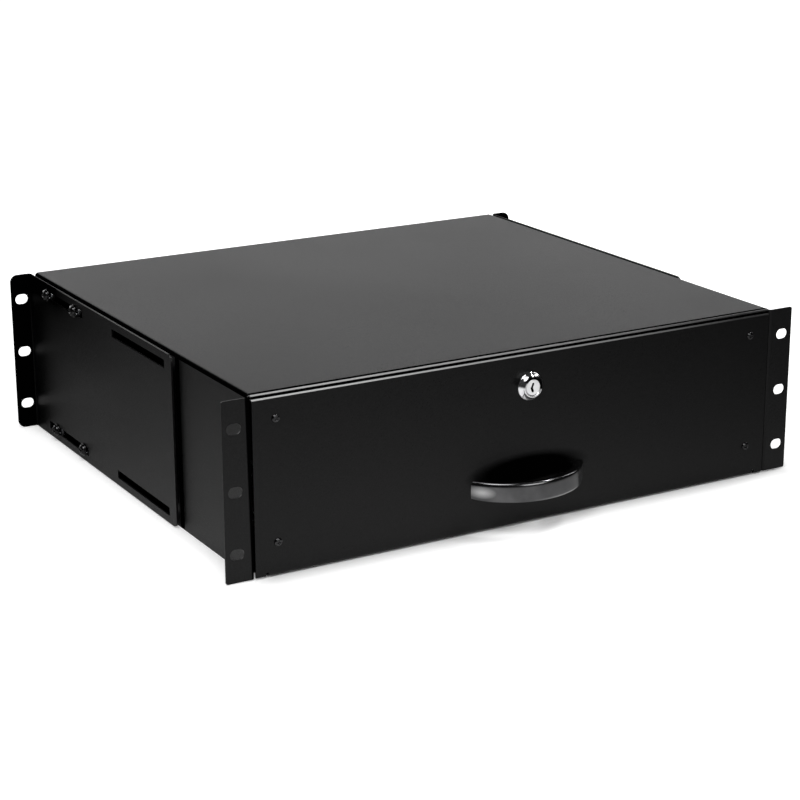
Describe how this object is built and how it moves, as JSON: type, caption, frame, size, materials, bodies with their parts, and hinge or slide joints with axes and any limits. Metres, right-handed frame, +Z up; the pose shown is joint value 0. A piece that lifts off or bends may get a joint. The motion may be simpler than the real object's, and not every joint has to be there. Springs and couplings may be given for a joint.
{
  "type": "sliding rack drawer",
  "caption": "Rack-mounted lockable steel drawer in a black casing, on ball slides, with a bow pull, cam lock, slotted front ears and adjustable rear brackets.",
  "frame": {"origin": "middle of the front ears' slot pattern, on the ears' back face that bears on the rack posts", "axes": "+X to the right seen from the front, +Y into the rack, +Z up"},
  "size_m": [0.4826, 0.4285, 0.1316],
  "materials": {
    "casing_coat": "fine texture powder coat",
    "panel_coat": "fine texture powder coat",
    "black_screws": "black oxide",
    "zinc_fasteners": "zinc plated",
    "slide_steel": "zinc plated",
    "cage_steel": "cold rolled, bright",
    "ball_steel": "polished",
    "bumper_rubber": "matt",
    "handle_metal": "black nickel, glossy",
    "lock_chrome": "polished",
    "plug_metal": "satin nickel"
  },
  "bodies": {
    "casing": {"casing_shell": "casing_coat", "casing_bottom": "casing_coat", "back_panel": "casing_coat", "back_rivets": "black_screws", "lock_strike_rail": "casing_coat", "bracket_screws": "black_screws", "bracket_washers": "black_screws", "bracket_spacers": "zinc_fasteners", "bracket_nuts": "zinc_fasteners", "outer_rail_screws": "zinc_fasteners", "slide_bumpers": "bumper_rubber", "left_slide_outer": "slide_steel", "right_slide_outer": "slide_steel"},
    "drawer": {"drawer_tray": "casing_coat", "tray_front_wall": "casing_coat", "tray_rear_wall": "casing_coat", "front_panel": "panel_coat", "front_panel_screws": "black_screws", "front_panel_nuts": "zinc_fasteners", "handle": "handle_metal", "handle_screws": "zinc_fasteners", "lock_housing": "lock_chrome", "lock_nut": "zinc_fasteners", "inner_rail_screws": "zinc_fasteners", "left_slide_inner": "slide_steel", "right_slide_inner": "slide_steel"},
    "lock_core": {"lock_plug": "plug_metal", "lock_cam": "zinc_fasteners", "cam_screw": "zinc_fasteners"},
    "left_bracket": {"left_rear_bracket": "casing_coat"},
    "left_middle": {"left_slide_middle": "slide_steel"},
    "left_outer_retainer": {"left_outer_cage": "cage_steel", "left_outer_balls": "ball_steel"},
    "left_inner_retainer": {"left_inner_cage": "cage_steel", "left_inner_balls": "ball_steel"},
    "right_bracket": {"right_rear_bracket": "casing_coat"},
    "right_middle": {"right_slide_middle": "slide_steel"},
    "right_outer_retainer": {"right_outer_cage": "cage_steel", "right_outer_balls": "ball_steel"},
    "right_inner_retainer": {"right_inner_cage": "cage_steel", "right_inner_balls": "ball_steel"}
  },
  "joints": [
    {"name": "drawer_slide", "type": "slide", "parent": "casing", "child": "drawer", "axis": [0, -1, 0], "range_m": [0, 0.35]},
    {"name": "lock_turn", "type": "hinge", "parent": "drawer", "child": "lock_core", "pos_m": [0, 0, 0.03925], "axis": [0, -1, 0], "range_deg": [0, 90]},
    {"name": "left_bracket_slide", "type": "slide", "parent": "casing", "child": "left_bracket", "axis": [0, 1, 0], "range_m": [-0.007, 0.007]},
    {"name": "left_middle_slide", "type": "slide", "parent": "casing", "child": "left_middle", "axis": [0, -1, 0], "range_m": [0, 0.175]},
    {"name": "left_outer_retainer_slide", "type": "slide", "parent": "casing", "child": "left_outer_retainer", "axis": [0, -1, 0], "range_m": [0, 0.0875]},
    {"name": "left_inner_retainer_slide", "type": "slide", "parent": "casing", "child": "left_inner_retainer", "axis": [0, -1, 0], "range_m": [0, 0.2625]},
    {"name": "right_bracket_slide", "type": "slide", "parent": "casing", "child": "right_bracket", "axis": [0, 1, 0], "range_m": [-0.007, 0.007]},
    {"name": "right_middle_slide", "type": "slide", "parent": "casing", "child": "right_middle", "axis": [0, -1, 0], "range_m": [0, 0.175]},
    {"name": "right_outer_retainer_slide", "type": "slide", "parent": "casing", "child": "right_outer_retainer", "axis": [0, -1, 0], "range_m": [0, 0.0875]},
    {"name": "right_inner_retainer_slide", "type": "slide", "parent": "casing", "child": "right_inner_retainer", "axis": [0, -1, 0], "range_m": [0, 0.2625]}
  ],
  "couplings": [
    {"joint": "left_middle_slide", "follows": "drawer_slide", "ratio": 0.5},
    {"joint": "left_outer_retainer_slide", "follows": "drawer_slide", "ratio": 0.25},
    {"joint": "left_inner_retainer_slide", "follows": "drawer_slide", "ratio": 0.75},
    {"joint": "right_middle_slide", "follows": "drawer_slide", "ratio": 0.5},
    {"joint": "right_outer_retainer_slide", "follows": "drawer_slide", "ratio": 0.25},
    {"joint": "right_inner_retainer_slide", "follows": "drawer_slide", "ratio": 0.75}
  ]
}
